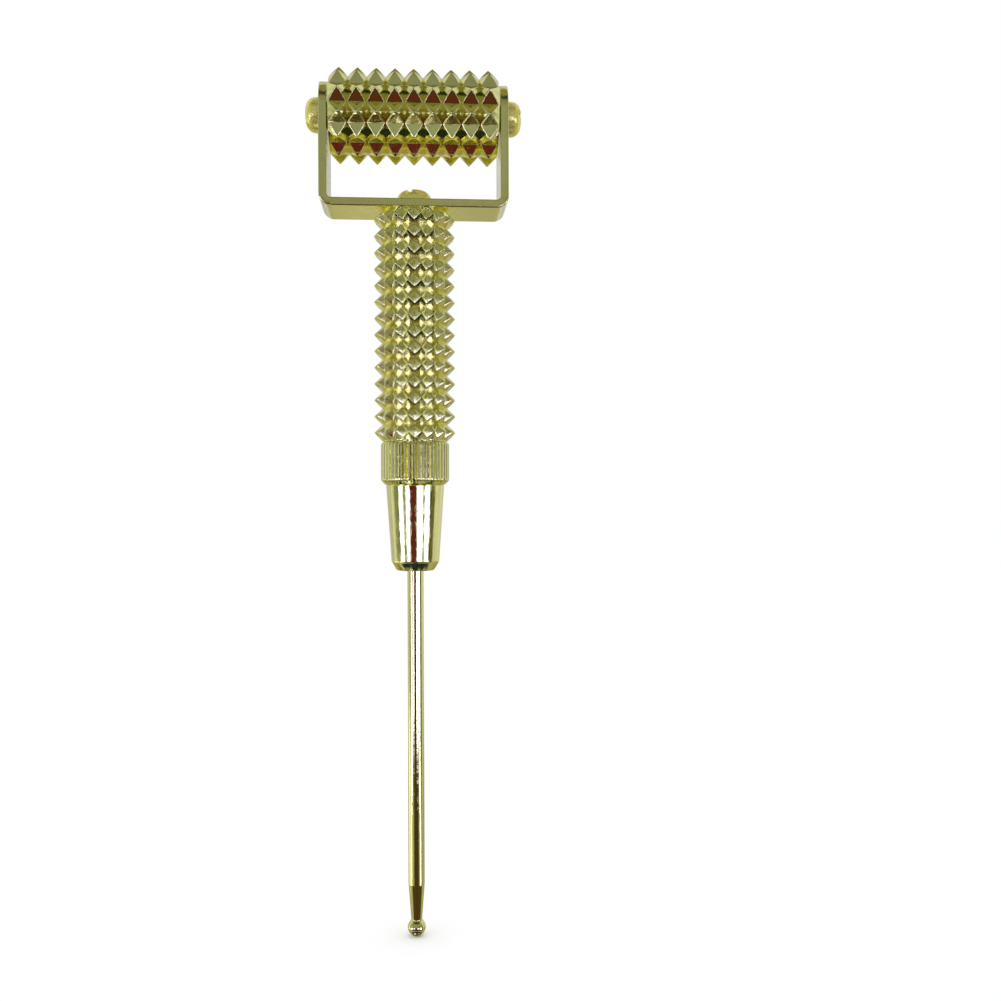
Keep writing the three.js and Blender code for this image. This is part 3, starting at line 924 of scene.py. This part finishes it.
# What light that has met the metal twice finds in front, where the teeth face each other.
SECOND_ROOM = [
    dict(azimuth=(-90, 90), elevation=(-22, 6), colour=SECOND_GREY, soft=2.0),
    dict(azimuth=(-14, 14), elevation=(-22, 6), colour=SECOND_DARK, soft=2.0),
    dict(azimuth=(-3, 3), elevation=(-10, 1), colour=SECOND_LAMP, soft=1.0),
    dict(azimuth=(-68, -46), elevation=(-22, 2), colour=SECOND_BOX, soft=1.0),
    dict(azimuth=(-32, -17), elevation=(-22, 2), colour=SECOND_BOX, soft=1.0),
    dict(azimuth=(17, 31), elevation=(-22, 2), colour=SECOND_BOX, soft=1.0),
    dict(azimuth=(46, 66), elevation=(-22, 2), colour=SECOND_BOX, soft=1.0),
]


def build_studio():
    """A pale room with soft boxes in front and dark things below them, seen only by reflections."""
    world = bpy.data.worlds.new("studio")
    bpy.context.scene.world = world
    world.use_nodes = True
    g = Graph(world.node_tree)
    direction = g.node("ShaderNodeTexCoord").outputs["Generated"]
    parts = g.node("ShaderNodeSeparateXYZ", {0: direction}).outputs
    towards_camera = g.math("MULTIPLY", parts["Y"], -1.0)
    azimuth = g.math("MULTIPLY", g.math("ARCTAN2", parts["X"], towards_camera), 180 / math.pi)
    elevation = g.math("MULTIPLY", g.math("ARCSINE", parts["Z"]), 180 / math.pi)

    rays = g.node("ShaderNodeLightPath").outputs
    colour = BACKDROP
    for patch in ROOM:
        colour = g.mix(panel(g, azimuth, elevation, patch), colour, patch["colour"])
    second = g.step(rays["Ray Depth"], 2.4, 2.6)
    for patch in SECOND_ROOM:
        inside = g.math("MULTIPLY", second, panel(g, azimuth, elevation, patch))
        colour = g.mix(inside, colour, patch["colour"])
    clutter = g.step(g.noise(direction, 5.0, 3.0), 0.35, 0.65)
    strength = g.spread(clutter, 0.72, 1.12)

    seen = g.node("ShaderNodeBackground", {"Color": colour, "Strength": strength}).outputs[0]
    room = g.node("ShaderNodeBackground", {"Color": rgba(1, 1, 1), "Strength": 1.25}).outputs[0]
    plain = g.node("ShaderNodeBackground", {"Color": rgba(1, 1, 1), "Strength": 1.0}).outputs[0]
    lit = g.node("ShaderNodeMixShader", {0: rays["Is Diffuse Ray"], 1: seen, 2: room}).outputs[0]
    shown = g.node("ShaderNodeMixShader", {0: rays["Is Camera Ray"], 1: lit, 2: plain}).outputs[0]
    g.node("ShaderNodeOutputWorld", {"Surface": shown})


def build_camera():
    """A close view from the front. The camera is turned a little, so the tool stands left of the middle."""
    data = bpy.data.cameras.new("camera")
    data.sensor_width = 36.0
    data.lens = 39.75
    data.clip_start = 0.01
    camera = bpy.data.objects.new("camera", data)
    bpy.context.scene.collection.objects.link(camera)
    distance, eye_height = 205.0, 82.2
    camera.location = Vector((0, -distance, eye_height)) * MM
    camera.rotation_euler = (math.radians(90 - 0.44), math.radians(0.17), math.radians(-4.41))
    bpy.context.scene.camera = camera


build_roller()
build_sleeve()
build_core()
build_nose()
build_probe()
build_spring()
build_fork()
build_screws()
build_axle()
build_floor()
build_studio()
build_camera()
bpy.context.scene.view_settings.view_transform = "Standard"
bpy.context.scene.cycles.max_bounces = 10
